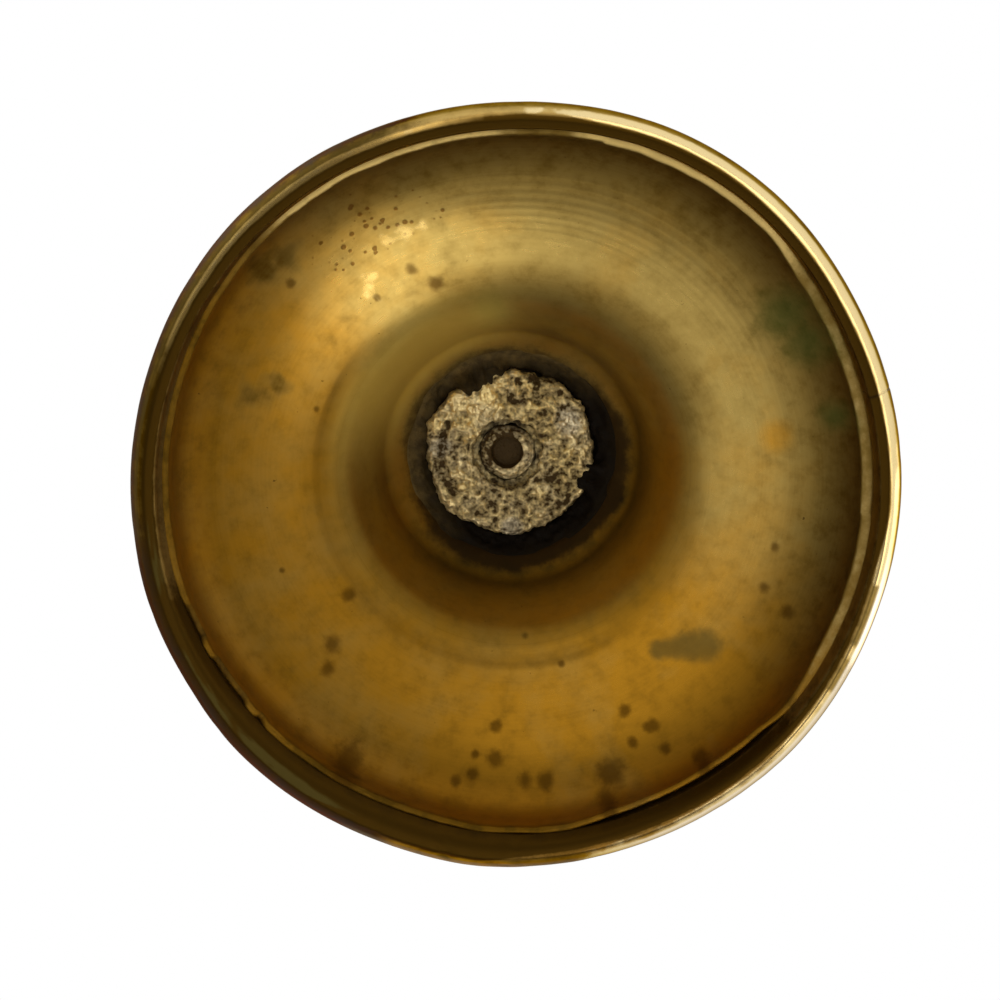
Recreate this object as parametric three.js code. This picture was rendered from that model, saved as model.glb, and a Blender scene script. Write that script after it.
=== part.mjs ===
// A footed brass vase, built up from turned and spun pieces that one tie rod holds in a stack.
// Millimetres, +Z up. The origin is on the table, on the axis of the vase.
import * as THREE from "three";
import { mergeVertices } from "three/addons/utils/BufferGeometryUtils.js";

// Fits that every piece shares
const facets = 36; // flat sides round each turned piece
const curveSteps = 5; // straight steps in each curved stretch of an outline
const cornerSteps = 2; // half the straight steps in each rounded corner of the foot ring
const fit = 0.3; // gap left round a piece that slips into or over another
const solderGap = 0.1; // film of solder between two faces that meet

// Tie rod, with a clinched hollow end below and a domed head above
const rodRadius = 4.8;
const rodHoleRadius = 3.3;
const rodHoleDepth = 5;
const rodLipWidth = 1; // how far the clinched lip stands out from the rod
const rodRecess = 0.3; // how far the clinched end lies inside the face of the plug
const rodHeadWidth = 4.2; // how far the head stands out from the rod
const rodHeadHeight = 3;

// Foot ring, a D-section bar bent round the skirt of the dome
const footRadius = 65;
const footRingWidth = 5.6;
const footRingHeight = 6.4;
const footRingLand = 1.4; // flat worn on the underside, where the vase stands

// Foot dome, spun from sheet: a straight skirt behind the ring, then a dome that ends at the throat
const footSheet = 1.2;
const skirtEdgeLift = 2.4; // the cut edge of the sheet above the table
const domeHeight = 14.1; // from the top of the skirt to the throat
const domeSlope = THREE.MathUtils.degToRad(8); // fall of the dome where it leaves the throat
const domeReach = 14; // how far the dome follows its slope
const skirtReach = 8.5; // how far the dome follows the skirt

// Throat, a tapered sleeve brazed into the dome, with a ledge, a neck and a flange at its top
const throatDepth = 18;
const throatTaper = 6.2; // how much narrower the sleeve is at its ledge
const throatBend = 3; // length of wall taken up by each bend
const ledgeWidth = 3.4;
const ledgeRise = 1;
const neckLength = 11.5;

// Plug cast inside the neck, and the pitch packed round it
const plugRadius = 15.5;
const plugHeight = 8.6;
const packingWidth = 4.2;
const packingDepth = 6.4;
const clinchRecessWidth = 1.5; // room round the clinched lip
const clinchRecessDepth = 1.6;

// Turned collars under and over the knop
const footCollarRadius = 24.5;
const footCollarHeight = 5;
const bodyCollarRadius = 21;
const bodyCollarHeight = 4.5;

// Turned knop
const knopRadius = 24;
const knopHeight = 38;
const knopNeckRadius = 11.5;
const knopDiscRadius = 17;
const knopDiscHeight = 2.5;
const knopNeckLength = 8;
const knopFullness = 0.55; // how far the ball follows its tangents

// Lower half of the body
const bodySheet = 1.1;
const bowlFloorMargin = 1.4; // flat floor left round the seal
const bowlRadius = 52;
const bowlHeight = 44;
const bowlFullness = 0.62; // how far the curve of the bowl follows its tangents
const lapLength = 6; // overlap of the two halves of the body

// Seal over the hole in the floor of the bowl
const washerWidth = 7;
const washerThickness = 1.5;
const sealWidth = 3.2;
const sealHeight = 2;

// Upper half of the body, from the seam to the waist
const waistRadius = 26;
const waistHeight = 46; // above the seam
const shoulderFullness = 0.55; // how far the shoulder follows its tangents

// Trumpet neck, lapped into the waist
const mouthRadius = 47;
const neckHeight = 66; // from the waist lap to the edge of the lip
const flareAngle = THREE.MathUtils.degToRad(32); // rise of the lip above the level
const flareFullness = 0.5; // how far the flare follows its tangents

// Mouldings that cover the two seams and the lip
const seamBandWidth = 2.6;
const seamBandHeight = 7;
const waistRingWidth = 2.4;
const waistRingHeight = 6;
const bandOverhang = 1; // how far a band reaches past the edge that it covers
const mouthRingRadius = 2.4;

// Places worked out from the sizes above
const rodBore = rodRadius + fit;
const footRingBore = footRadius - footRingWidth;
const skirtRadius = footRingBore - fit - footSheet;
const neckBore = plugRadius + packingWidth;
const ledgeRadius = neckBore + ledgeWidth;
const throatRadius = ledgeRadius + throatTaper;
const domeHoleRadius = throatRadius + footSheet + fit;
const throatBase = footRingHeight + domeHeight;
const ledgeBase = throatBase + throatDepth;
const neckBase = ledgeBase + ledgeRise;
const footTop = neckBase + neckLength;
const plugTop = footTop - footSheet - solderGap;
const plugBottom = plugTop - plugHeight;
const rodLipRadius = rodRadius + rodLipWidth;
const clinchRecessRadius = rodLipRadius + clinchRecessWidth;
const clinchRecessTop = plugBottom + clinchRecessDepth;
const footCollarBase = footTop + solderGap;
const knopBase = footCollarBase + footCollarHeight + solderGap;
const bodyCollarBase = knopBase + knopHeight + solderGap;
const bowlBase = bodyCollarBase + bodyCollarHeight + solderGap;
const bowlFloor = bowlBase + bodySheet;
const seamHeight = bowlBase + bowlHeight;
const washerBase = bowlFloor + solderGap;
const washerRadius = rodBore + washerWidth;
const sealBore = washerRadius + fit;
const bowlFloorRadius = sealBore + sealWidth + bowlFloorMargin;
const rodHeadBase = washerBase + washerThickness + solderGap;
const shoulderSkirtRadius = bowlRadius - bodySheet - fit;
const waistLevel = seamHeight + waistHeight;
const waistTop = waistLevel + lapLength;
const trumpetSkirtRadius = waistRadius - bodySheet - fit;

// Finishes
const agedBrass = { color: 0x8f6b2a, metalness: 1, roughness: 0.38 };
const wornBrass = { color: 0xb59048, metalness: 1, roughness: 0.26 };
const castBrass = { color: 0x9a8050, metalness: 0.9, roughness: 0.7 };
const pitch = { color: 0x17110a, metalness: 0, roughness: 0.55 };
const solder = { color: 0x8d8b84, metalness: 0.9, roughness: 0.55 };

const at = (radius, height) => new THREE.Vector2(radius, height);

// The point that lies a length along the way from one point to another.
function towards(from, to, length) {
  return to.clone().sub(from).setLength(length).add(from);
}

// Carries a wall to a corner and bends it there, taking up at most half of either wall.
function bendAt(path, from, corner, to) {
  const reach = Math.min(throatBend, from.distanceTo(corner) / 2, to.distanceTo(corner) / 2);
  const start = towards(corner, from, reach);
  const end = towards(corner, to, reach);
  path.lineTo(start.x, start.y);
  path.quadraticCurveTo(corner.x, corner.y, end.x, end.y);
}

// Offsets an open line of points to its right-hand side, with mitred corners.
function offsetLine(points, distance) {
  const rightOf = (a, b) => at(b.y - a.y, a.x - b.x).normalize();
  return points.map((point, i) => {
    const before = rightOf(points[Math.max(i - 1, 0)], points[Math.max(i, 1)]);
    const last = points.length - 1;
    const after = rightOf(points[Math.min(i, last - 1)], points[Math.min(i + 1, last)]);
    const mitre = before.clone().add(after);
    return point.clone().addScaledVector(mitre, (2 * distance) / mitre.lengthSq());
  });
}

// The outline of a sheet of one thickness whose near face follows a line.
function sheetOutline(path, thickness) {
  const near = path.getPoints(curveSteps);
  return [...near, ...offsetLine(near, thickness).reverse()];
}

// Revolves a closed outline round the Z axis into one closed solid.
function revolve(outline) {
  const ring = THREE.ShapeUtils.isClockWise(outline) ? [...outline].reverse() : outline;
  const lathe = new THREE.LatheGeometry([...ring, ring[0]], facets);
  lathe.deleteAttribute("normal");
  lathe.deleteAttribute("uv");
  lathe.rotateX(Math.PI / 2);
  const solid = mergeVertices(lathe);
  const corners = Array.from(solid.index.array);
  const kept = [];
  for (let i = 0; i < corners.length; i += 3) {
    const triangle = corners.slice(i, i + 3);
    if (new Set(triangle).size === 3) kept.push(...triangle);
  }
  solid.setIndex(kept);
  solid.computeVertexNormals();
  return solid;
}

const vase = new THREE.Group();
vase.name = "brass_vase";

function addPiece(name, outline, finish) {
  const piece = new THREE.Mesh(revolve(outline), new THREE.MeshStandardMaterial(finish));
  piece.name = name;
  vase.add(piece);
}

// A bar with a flat bore face and a flat land below, and its other corners rounded.
function footRingOutline() {
  const round = (footRingWidth - footRingLand) / 2;
  const bar = new THREE.Path();
  bar.moveTo(footRingBore, footRingHeight);
  bar.lineTo(footRingBore, round);
  bar.absarc(footRingBore + round, round, round, Math.PI, Math.PI * 1.5);
  bar.lineTo(footRadius - round, 0);
  bar.absarc(footRadius - round, round, round, -Math.PI / 2, 0);
  bar.lineTo(footRadius, footRingHeight - round);
  bar.absarc(footRadius - round, footRingHeight - round, round, 0, Math.PI / 2);
  return bar.getPoints(cornerSteps);
}

// The underside of the dome, from the cut edge of its skirt to its hole.
function domeUnderside() {
  const skirtTop = at(skirtRadius, footRingHeight);
  const hole = at(domeHoleRadius, throatBase);
  const slope = at(Math.cos(domeSlope), -Math.sin(domeSlope));
  const shoulder = hole.clone().addScaledVector(slope, domeReach);
  const underside = new THREE.Path();
  underside.moveTo(skirtRadius, skirtEdgeLift);
  underside.lineTo(skirtTop.x, skirtTop.y);
  underside.bezierCurveTo(skirtTop.x, skirtTop.y + skirtReach, shoulder.x, shoulder.y, hole.x, hole.y);
  return underside;
}

// The inside of the throat, from its edge in the dome to the flange that the plug bears on.
function throatInside() {
  const edge = at(throatRadius, throatBase);
  const ledge = at(ledgeRadius, ledgeBase);
  const neck = at(neckBore, neckBase);
  const flange = at(neckBore, footTop - footSheet);
  const inside = new THREE.Path();
  inside.moveTo(edge.x, edge.y);
  bendAt(inside, edge, ledge, neck);
  bendAt(inside, ledge, neck, flange);
  inside.lineTo(flange.x, flange.y);
  inside.lineTo(rodBore, flange.y);
  return inside;
}

// A drum with a hole for the rod and a recess for the clinched lip in its lower face.
function plugOutline() {
  return [
    at(rodBore, plugTop),
    at(rodBore, clinchRecessTop),
    at(clinchRecessRadius, clinchRecessTop),
    at(clinchRecessRadius, plugBottom),
    at(plugRadius, plugBottom),
    at(plugRadius, plugTop),
  ];
}

// A ring with square corners, from its bore to its outer radius.
function ringOutline(bore, radius, base, top) {
  return [at(bore, base), at(radius, base), at(radius, top), at(bore, top)];
}

const packingOutline = () => ringOutline(plugRadius + fit, neckBore - fit, plugTop - packingDepth, plugTop);

const washerOutline = () => ringOutline(rodBore, washerRadius, washerBase, washerBase + washerThickness);

// A rod on the axis: a blind hole and a clinched lip below, and a domed head on the washer.
function tieRodOutline() {
  const end = plugBottom + rodRecess;
  const headRadius = rodRadius + rodHeadWidth;
  const rod = new THREE.Path();
  rod.moveTo(0, end + rodHoleDepth);
  rod.lineTo(rodHoleRadius, end + rodHoleDepth);
  rod.lineTo(rodHoleRadius, end);
  rod.lineTo(rodLipRadius, end);
  rod.lineTo(rodLipRadius, clinchRecessTop - solderGap);
  rod.lineTo(rodRadius, clinchRecessTop - solderGap);
  rod.lineTo(rodRadius, rodHeadBase);
  rod.lineTo(headRadius, rodHeadBase);
  rod.quadraticCurveTo(headRadius, rodHeadBase + rodHeadHeight, 0, rodHeadBase + rodHeadHeight);
  return rod.getPoints(curveSteps);
}

// A washer-like collar with a half-round edge.
function collarOutline(radius, base, height) {
  const round = height / 2;
  const collar = new THREE.Path();
  collar.moveTo(rodBore, base);
  collar.lineTo(radius - round, base);
  collar.absarc(radius - round, base + round, round, -Math.PI / 2, Math.PI / 2);
  collar.lineTo(rodBore, base + height);
  return collar.getPoints(curveSteps);
}

// A flattened ball between two coves, each ending in a disc.
function knopOutline() {
  const top = knopBase + knopHeight;
  const middle = knopBase + knopHeight / 2;
  const coveBottom = knopBase + knopDiscHeight;
  const coveTop = top - knopDiscHeight;
  const ballBottom = coveBottom + knopNeckLength;
  const ballTop = coveTop - knopNeckLength;
  const swell = knopFullness * (knopRadius - knopNeckRadius);
  const knop = new THREE.Path();
  knop.moveTo(rodBore, knopBase);
  knop.lineTo(knopDiscRadius, knopBase);
  knop.lineTo(knopDiscRadius, coveBottom);
  knop.quadraticCurveTo(knopNeckRadius, coveBottom, knopNeckRadius, ballBottom);
  knop.bezierCurveTo(knopNeckRadius + swell, ballBottom, knopRadius, middle - swell, knopRadius, middle);
  knop.bezierCurveTo(knopRadius, middle + swell, knopNeckRadius + swell, ballTop, knopNeckRadius, ballTop);
  knop.quadraticCurveTo(knopNeckRadius, coveTop, knopDiscRadius, coveTop);
  knop.lineTo(knopDiscRadius, top);
  knop.lineTo(rodBore, top);
  return knop.getPoints(curveSteps);
}

// The inside of the bowl: a flat floor, a round side and a straight stretch for the lap.
function bowlInside() {
  const side = bowlRadius - bodySheet;
  const lapBottom = seamHeight - lapLength;
  const inside = new THREE.Path();
  inside.moveTo(rodBore, bowlFloor);
  inside.lineTo(bowlFloorRadius, bowlFloor);
  inside.bezierCurveTo(
    bowlFloorRadius + bowlFullness * (side - bowlFloorRadius), bowlFloor,
    side, lapBottom - bowlFullness * (lapBottom - bowlFloor),
    side, lapBottom,
  );
  inside.lineTo(side, seamHeight);
  return inside;
}

// A fillet of solder in the corner between the washer and the floor of the bowl.
function floorSealOutline() {
  const corner = at(sealBore, washerBase);
  return [corner, at(sealBore + sealWidth, washerBase), at(sealBore, washerBase + sealHeight)];
}

// The inside of the shoulder: a skirt in the lap of the bowl, a round shoulder and a straight waist.
function shoulderInside() {
  const skirt = shoulderSkirtRadius - bodySheet;
  const waist = waistRadius - bodySheet;
  const reach = shoulderFullness * waistHeight;
  const inside = new THREE.Path();
  inside.moveTo(skirt, seamHeight - lapLength);
  inside.lineTo(skirt, seamHeight);
  inside.bezierCurveTo(skirt, seamHeight + reach, waist, waistLevel - reach, waist, waistLevel);
  inside.lineTo(waist, waistTop);
  return inside;
}

// The inside of the trumpet: a skirt in the lap of the waist, then a flare to the lip.
function trumpetInside() {
  const skirt = trumpetSkirtRadius - bodySheet;
  const mouthLevel = waistTop + neckHeight;
  const rise = flareFullness * neckHeight;
  const reach = flareFullness * (mouthRadius - trumpetSkirtRadius);
  const lipStart = at(Math.cos(flareAngle), Math.sin(flareAngle)).multiplyScalar(-reach);
  lipStart.add(at(mouthRadius, mouthLevel));
  const inside = new THREE.Path();
  inside.moveTo(skirt, waistLevel);
  inside.lineTo(skirt, waistTop);
  inside.bezierCurveTo(skirt, waistTop + rise, lipStart.x, lipStart.y, mouthRadius, mouthLevel);
  return inside;
}

// A half-round moulding round a wall, reaching a little past the edge that it covers.
function bandOutline(wallRadius, edge, width, height) {
  const middle = edge + bandOverhang - height / 2;
  const band = new THREE.Path();
  band.absellipse(wallRadius + fit, middle, width, height / 2, -Math.PI / 2, Math.PI / 2);
  return band.getPoints(curveSteps);
}

// A round wire butted on the edge of the lip, in line with the flare.
function mouthRingOutline(lip) {
  const [inner, outer] = [lip[lip.length / 2 - 1], lip[lip.length / 2]];
  const along = at(Math.cos(flareAngle), Math.sin(flareAngle));
  const centre = inner.clone().add(outer).multiplyScalar(0.5).addScaledVector(along, mouthRingRadius + fit);
  const wire = new THREE.Path();
  wire.absarc(centre.x, centre.y, mouthRingRadius, 0, Math.PI * 2);
  return wire.getPoints(curveSteps).slice(1);
}

const trumpetOutline = sheetOutline(trumpetInside(), bodySheet);

addPiece("foot_ring", footRingOutline(), wornBrass);
addPiece("foot_dome", sheetOutline(domeUnderside(), footSheet), agedBrass);
addPiece("foot_throat", sheetOutline(throatInside(), footSheet), agedBrass);
addPiece("foot_plug", plugOutline(), castBrass);
addPiece("pitch_packing", packingOutline(), pitch);
addPiece("tie_rod", tieRodOutline(), castBrass);
addPiece("foot_collar", collarOutline(footCollarRadius, footCollarBase, footCollarHeight), wornBrass);
addPiece("stem_knop", knopOutline(), agedBrass);
addPiece("body_collar", collarOutline(bodyCollarRadius, bodyCollarBase, bodyCollarHeight), wornBrass);
addPiece("body_bowl", sheetOutline(bowlInside(), bodySheet), agedBrass);
addPiece("floor_washer", washerOutline(), agedBrass);
addPiece("floor_solder", floorSealOutline(), solder);
addPiece("body_shoulder", sheetOutline(shoulderInside(), bodySheet), agedBrass);
addPiece("seam_band", bandOutline(bowlRadius, seamHeight, seamBandWidth, seamBandHeight), wornBrass);
addPiece("trumpet_neck", trumpetOutline, agedBrass);
addPiece("waist_ring", bandOutline(waistRadius, waistTop, waistRingWidth, waistRingHeight), wornBrass);
addPiece("mouth_ring", mouthRingOutline(trumpetOutline), wornBrass);

export default vase;
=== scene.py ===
import math
from functools import partial

import bpy
import numpy as np
from mathutils import Matrix, Vector

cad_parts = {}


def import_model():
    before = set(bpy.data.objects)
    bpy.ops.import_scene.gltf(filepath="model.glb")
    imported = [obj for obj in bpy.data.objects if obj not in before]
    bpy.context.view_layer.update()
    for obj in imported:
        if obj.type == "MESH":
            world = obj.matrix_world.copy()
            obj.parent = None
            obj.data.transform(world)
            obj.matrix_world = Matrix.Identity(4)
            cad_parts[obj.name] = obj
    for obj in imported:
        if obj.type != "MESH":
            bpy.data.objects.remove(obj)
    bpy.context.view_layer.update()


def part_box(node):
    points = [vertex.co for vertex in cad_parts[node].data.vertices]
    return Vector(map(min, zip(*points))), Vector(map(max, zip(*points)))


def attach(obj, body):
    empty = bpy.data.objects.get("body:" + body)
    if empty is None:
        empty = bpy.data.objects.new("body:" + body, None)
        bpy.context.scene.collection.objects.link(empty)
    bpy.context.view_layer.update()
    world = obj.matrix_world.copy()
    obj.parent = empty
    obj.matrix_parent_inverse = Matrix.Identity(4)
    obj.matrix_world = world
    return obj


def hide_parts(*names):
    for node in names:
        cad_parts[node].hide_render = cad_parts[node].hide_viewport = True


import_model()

# A footed brass vase, seen from under its foot.
# Sizes are in millimetres, and bearings in degrees from +X towards +Y, which is clockwise from below.
MM = 0.001


def span(node):
    """Outer radius, lowest and highest level of a CAD node, in millimetres."""
    low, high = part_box(node)
    return high.x / MM, low.z / MM, high.z / MM


# Places read off the frame
foot_radius, table_level, ring_top = span("foot_ring")
dome_radius, lip_level, _ = span("foot_dome")
_, throat_base, foot_top = span("foot_throat")
plug_radius, plug_face, plug_top = span("foot_plug")
_, packing_face, _ = span("pitch_packing")
rod_head_radius, rod_end, rod_top = span("tie_rod")
washer_radius, washer_base, washer_top = span("floor_washer")
seal_radius, seal_base, seal_top = span("floor_solder")
bowl_radius, bowl_base, seam_level = span("body_bowl")
shoulder_radius, lap_bottom, waist_top = span("body_shoulder")
trumpet_radius, waist_level, lip_top = span("trumpet_neck")
mouth_radius, _, mouth_top = span("mouth_ring")
knop_radius, knop_base, knop_top = span("stem_knop")

# Sizes of the foot that the frame doesn't give
fit = 0.3
ring_bore = foot_radius - 6.05
bore_base = 2.5
land_start = foot_radius - 3.9
land_end = foot_radius - 2.9
side_base = 5
ring_top_round = 1.2
foot_sheet = 1.2
sleeve_sheet = 0.6 * foot_sheet
hole_radius = 30.8
dome_slope = math.radians(8)
dome_reach = 14
skirt_reach = 8.5
bend_radius = 40
bend_reach = 8.5
seam_radius = 30.5
flange_width = 3
crease_height = 0.16
throat_wall = np.array([-0.22, 0.975])  # the way up the wall
throat_reach = 16.5
throat_bend = 3
ledge_spot = np.array([22.9, 37.6])
neck_radius = 18.3
neck_level = 41.1
lip_spread = 0.75
rod_radius = 4.8
rod_bore = rod_radius + fit
rod_hole_radius = 2.75
rod_hole_depth = 2.0
rod_lip_radius = 5.0
rod_lip_half = 0.8
recess_radius = 6.2
recess_depth = 1.6
recess_shift = 0.85

# Sizes of the stem and body that the frame doesn't give
knop_neck_radius = 11.5
knop_disc_radius = 17
knop_disc_height = 2.5
knop_neck_length = 8
knop_fullness = 0.55
body_sheet = 1.1
bowl_floor_radius = 17
bowl_fullness = 0.62
lap_length = 6
waist_radius = 26
shoulder_fullness = 0.55
flare_angle = math.radians(32)
flare_fullness = 0.5
mouth_wire_radius = 2.4

# Sizes of the stage
floor_radius = 3000
room_radius = 1400
window_radius = 1300
panel_distance = 1300


# Curves in the (radius, level) plane

def bezier(start, leave, arrive, end, steps=60):
    """Cubic curve that leaves its start towards one handle and arrives at its end from the other."""
    t = np.linspace(0, 1, steps)[:, None]
    a, b, c, d = (np.asarray(p, float) for p in (start, leave, arrive, end))
    return (1 - t) ** 3 * a + 3 * t * (1 - t) ** 2 * b + 3 * t ** 2 * (1 - t) * c + t ** 3 * d


def arc(middle, radius, start, end, steps=24):
    """Points of a circle from one angle to another, in degrees."""
    angle = np.radians(np.linspace(start, end, steps))
    return np.asarray(middle, float) + radius * np.stack([np.cos(angle), np.sin(angle)], -1)


def chain(*parts):
    """Joins stretches and single points end to end, and drops the points that repeat."""
    path = np.concatenate([np.atleast_2d(np.asarray(part, float)) for part in parts])
    step = np.linalg.norm(np.diff(path, axis=0), axis=1)
    return path[np.concatenate([[True], step > 1e-6])]


def evenly(path, spacing):
    """The same path with points in equal steps along it, about the spacing apart."""
    run = np.concatenate([[0], np.cumsum(np.linalg.norm(np.diff(path, axis=0), axis=1))])
    count = max(int(round(run[-1] / spacing)), 2) + 1
    places = np.linspace(0, run[-1], count)
    return np.stack([np.interp(places, run, path[:, k]) for k in range(2)], -1)


def rounded(corners, steps=9):
    """Closed outline through corners given as (radius, level, cut), each rounded over its cut."""
    corner = np.array(corners, float)
    spot, cut = corner[:, :2], corner[:, 2:]
    quarter = 0.5523  # handle length that makes a cubic a quarter of a circle
    stretches = []
    for i, here in enumerate(spot):
        before, after = spot[i - 1] - here, spot[(i + 1) % len(spot)] - here
        start = here + before / np.linalg.norm(before) * cut[i]
        end = here + after / np.linalg.norm(after) * cut[i]
        handles = start + (here - start) * quarter, end + (here - end) * quarter
        stretches.append(bezier(start, *handles, end, steps))
    path = chain(*stretches)
    return chain(path, path[:1])


def across(path):
    """Unit vectors along a path and to the right-hand side of it."""
    along = np.gradient(path, axis=0)
    along /= np.linalg.norm(along, axis=1)[:, None]
    return along, np.stack([along[:, 1], -along[:, 0]], -1)


def sheet_outline(path, thickness, far_spacing=2.0, edge_steps=7):
    """Closed outline of a sheet: a path, its far face one thickness to the right, and two round edges."""
    along, right = across(path)
    half = thickness / 2
    turn = np.linspace(0, np.pi, edge_steps + 2)[1:-1, None]
    end_edge = path[-1] + half * (right[-1] * (1 - np.cos(turn)) + along[-1] * np.sin(turn))
    start_edge = path[0] + half * (right[0] * (1 + np.cos(turn)) - along[0] * np.sin(turn))
    far = evenly((path + right * thickness)[::-1], far_spacing)
    return chain(path, end_edge, far, start_edge)


def anticlockwise(outline):
    """The closed outline without its repeated last point, turned so that its inside is on the left."""
    if np.allclose(outline[0], outline[-1]):
        outline = outline[:-1]
    r, z = outline.T
    area = np.sum(r * np.roll(z, -1) - np.roll(r, -1) * z)
    return outline if area > 0 else outline[::-1]


# Surfaces as grids of points

def turned(outline, columns):
    """A lathe surface: row i carries point i of the outline once round the axis."""
    bearing = np.linspace(0, 2 * np.pi, columns, endpoint=False)
    r, z = outline.T
    level = np.broadcast_to(z[:, None], (len(z), columns))
    return np.stack([np.outer(r, np.cos(bearing)), np.outer(r, np.sin(bearing)), level], -1)


def radii(grid):
    """Distance of each point from the axis."""
    return np.hypot(grid[..., 0], grid[..., 1])


def places_of(grid):
    """Bearing, radius and level of each point."""
    return np.degrees(np.arctan2(grid[..., 1], grid[..., 0])), radii(grid), grid[..., 2]


def outward(grid):
    """Unit normals of a grid, from the step round the axis crossed with the step along the outline."""
    along = np.roll(grid, -1, 0) - np.roll(grid, 1, 0)
    around = np.roll(grid, -1, 1) - np.roll(grid, 1, 1)
    normal = np.cross(around, along)
    return normal / np.maximum(np.linalg.norm(normal, axis=-1, keepdims=True), 1e-9)


def from_axis(grid, radius):
    """Vectors straight out from the axis, of length 1 for points at the radius given."""
    return grid * [1, 1, 0] / radius[..., None]


def moved(grid, way, amount):
    """The grid with each point moved along its own vector by its own amount."""
    return grid + way * amount[..., None]


def smooth(value, low, high):
    """0 below low, 1 above high, and a smooth step between."""
    t = np.clip((value - low) / (high - low), 0, 1)
    return t * t * (3 - 2 * t)


def falling(value, low, high):
    """1 below low, 0 above high, and a smooth step between."""
    return 1 - smooth(value, low, high)


def stretch(value, start, end, fade):
    """1 between two bearings going clockwise from below, falling to 0 over the fade outside them.
    It does the same between two distances."""
    half = ((end - start) % 360) / 2
    off = np.abs((value - start - half + 180) % 360 - 180)
    return falling(off, half, half + fade)


def stretches_of(value, *parts):
    """Sum of stretches given as (weight, start, end, fade)."""
    return sum(weight * stretch(value, start, end, fade) for weight, start, end, fade in parts)


def hashed(cell, seed):
    """A scrambled whole number for each cube of a lattice."""
    mixed = cell @ np.array([73856093, 19349663, 83492791]) + seed * 40503
    mixed = (mixed ^ (mixed >> 13)) * 1274126177
    return mixed ^ (mixed >> 16)


def noise(points, size, seed):
    """Smooth noise from -1 to 1: hashed values at the corners of cubes of that size, blended across them."""
    cell = np.floor(points / size).astype(np.int64)
    part = points / size - cell
    part = part * part * (3 - 2 * part)
    total = 0.0
    for corner in np.ndindex(2, 2, 2):
        value = (hashed(cell + corner, seed) & 0xFFFF) / 32767.5 - 1
        total = total + value * np.where(np.array(corner), part, 1 - part).prod(-1)
    return total


def rough_noise(points, size, seed, layers=4):
    """Layers of smooth noise, each half the size and half the height of the one before."""
    return sum(noise(points, size / 2 ** k, seed + k) / 2 ** k for k in range(layers))


def grains(points, size, seed):
    """Distance to the nearest of scattered grains, one in each cube of that size, in units of the size."""
    cell = np.floor(points / size).astype(np.int64)
    part = points / size - cell
    nearest = np.full(points.shape[:-1], 9.0)
    for step in np.ndindex(3, 3, 3):
        shift = np.array(step) - 1
        mixed = hashed(cell + shift, seed)
        jitter = np.stack([(mixed >> k) & 0xFF for k in (0, 8, 16)], -1) / 255
        nearest = np.minimum(nearest, np.linalg.norm(shift + jitter - part, axis=-1))
    return nearest


def marked(points, marks):
    """How deep points lie in the nearest mark: 1 in its middle, 0.5 on its edge, 0 at twice its size."""
    depth = np.zeros(points.shape[:-1])
    for bearing, distance, size in marks:
        x, y = arc((0, 0), distance, bearing, bearing, 1)[0]
        depth = np.maximum(depth, 1 - np.hypot(points[..., 0] - x, points[..., 1] - y) / (2 * size))
    return depth


def bends(outline, reach):
    """How sharply a closed outline turns over a reach of points: above 0 on proud edges, below in hollows."""
    back, ahead = outline - np.roll(outline, reach, 0), np.roll(outline, -reach, 0) - outline
    cross = back[:, 0] * ahead[:, 1] - back[:, 1] * ahead[:, 0]
    length = np.linalg.norm(back, axis=1) * np.linalg.norm(ahead, axis=1)
    return cross / np.maximum(length, 1e-9)


# Meshes

def grid_faces(rows, columns):
    """Quads between neighbouring points of a grid whose rows and columns close on themselves."""
    i, j = np.meshgrid(np.arange(rows), np.arange(columns), indexing="ij")
    up, on = (i + 1) % rows, (j + 1) % columns
    corners = [i * columns + j, i * columns + on, up * columns + on, up * columns + j]
    return np.stack(corners, -1).reshape(-1, 4)


def pole_faces(rows, columns):
    """End fans and quads of a grid whose first and last rows are points on the axis, sent first and last."""
    last = 1 + (rows - 3) * columns
    sides = [(j, (j + 1) % columns) for j in range(columns)]
    fans = [(0, 1 + on, 1 + j) for j, on in sides]
    fans += [(last + columns, last + j, last + on) for j, on in sides]
    quads = 1 + grid_faces(rows - 2, columns)[:(rows - 3) * columns]
    return fans + quads.tolist()


def mesh_object(name, points, faces, finish):
    """A smooth-shaded mesh object at the origin, with its place in its points."""
    mesh = bpy.data.meshes.new(name)
    mesh.from_pydata((points * MM).tolist(), [], faces)
    mesh.polygons.foreach_set("use_smooth", np.ones(len(mesh.polygons), bool))
    mesh.update()
    made = bpy.data.objects.new(name, mesh)
    bpy.context.scene.collection.objects.link(made)
    mesh.materials.append(finish)
    return made


def add_piece(name, node, slot, grid, finish, poles=False, **traces):
    """Makes a grid into a piece that stands for a CAD node, with a float attribute for each trace of wear."""
    rows, columns = grid.shape[:2]

    def listed(values):
        """Values point by point, with only one for each end row that is a pole."""
        flat = values.reshape(rows * columns, -1)
        return np.concatenate([flat[:1], flat[columns:-columns], flat[-1:]]) if poles else flat

    faces = pole_faces(rows, columns) if poles else grid_faces(rows, columns).tolist()
    made = mesh_object(name, listed(grid), faces, finish)
    for trace, value in traces.items():
        attribute = made.data.attributes.new(trace, "FLOAT", "POINT")
        value = np.broadcast_to(value, (rows, columns))
        attribute.data.foreach_set("value", listed(value).ravel().astype(np.float32))
    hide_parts(node)
    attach(made, "root")


# Materials

def linear(hex_colour):
    """Linear colour of an sRGB hex value."""
    share = [int(hex_colour[k:k + 2], 16) / 255 for k in (1, 3, 5)]
    return [c / 12.92 if c <= 0.04045 else ((c + 0.055) / 1.055) ** 2.4 for c in share] + [1.0]


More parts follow.
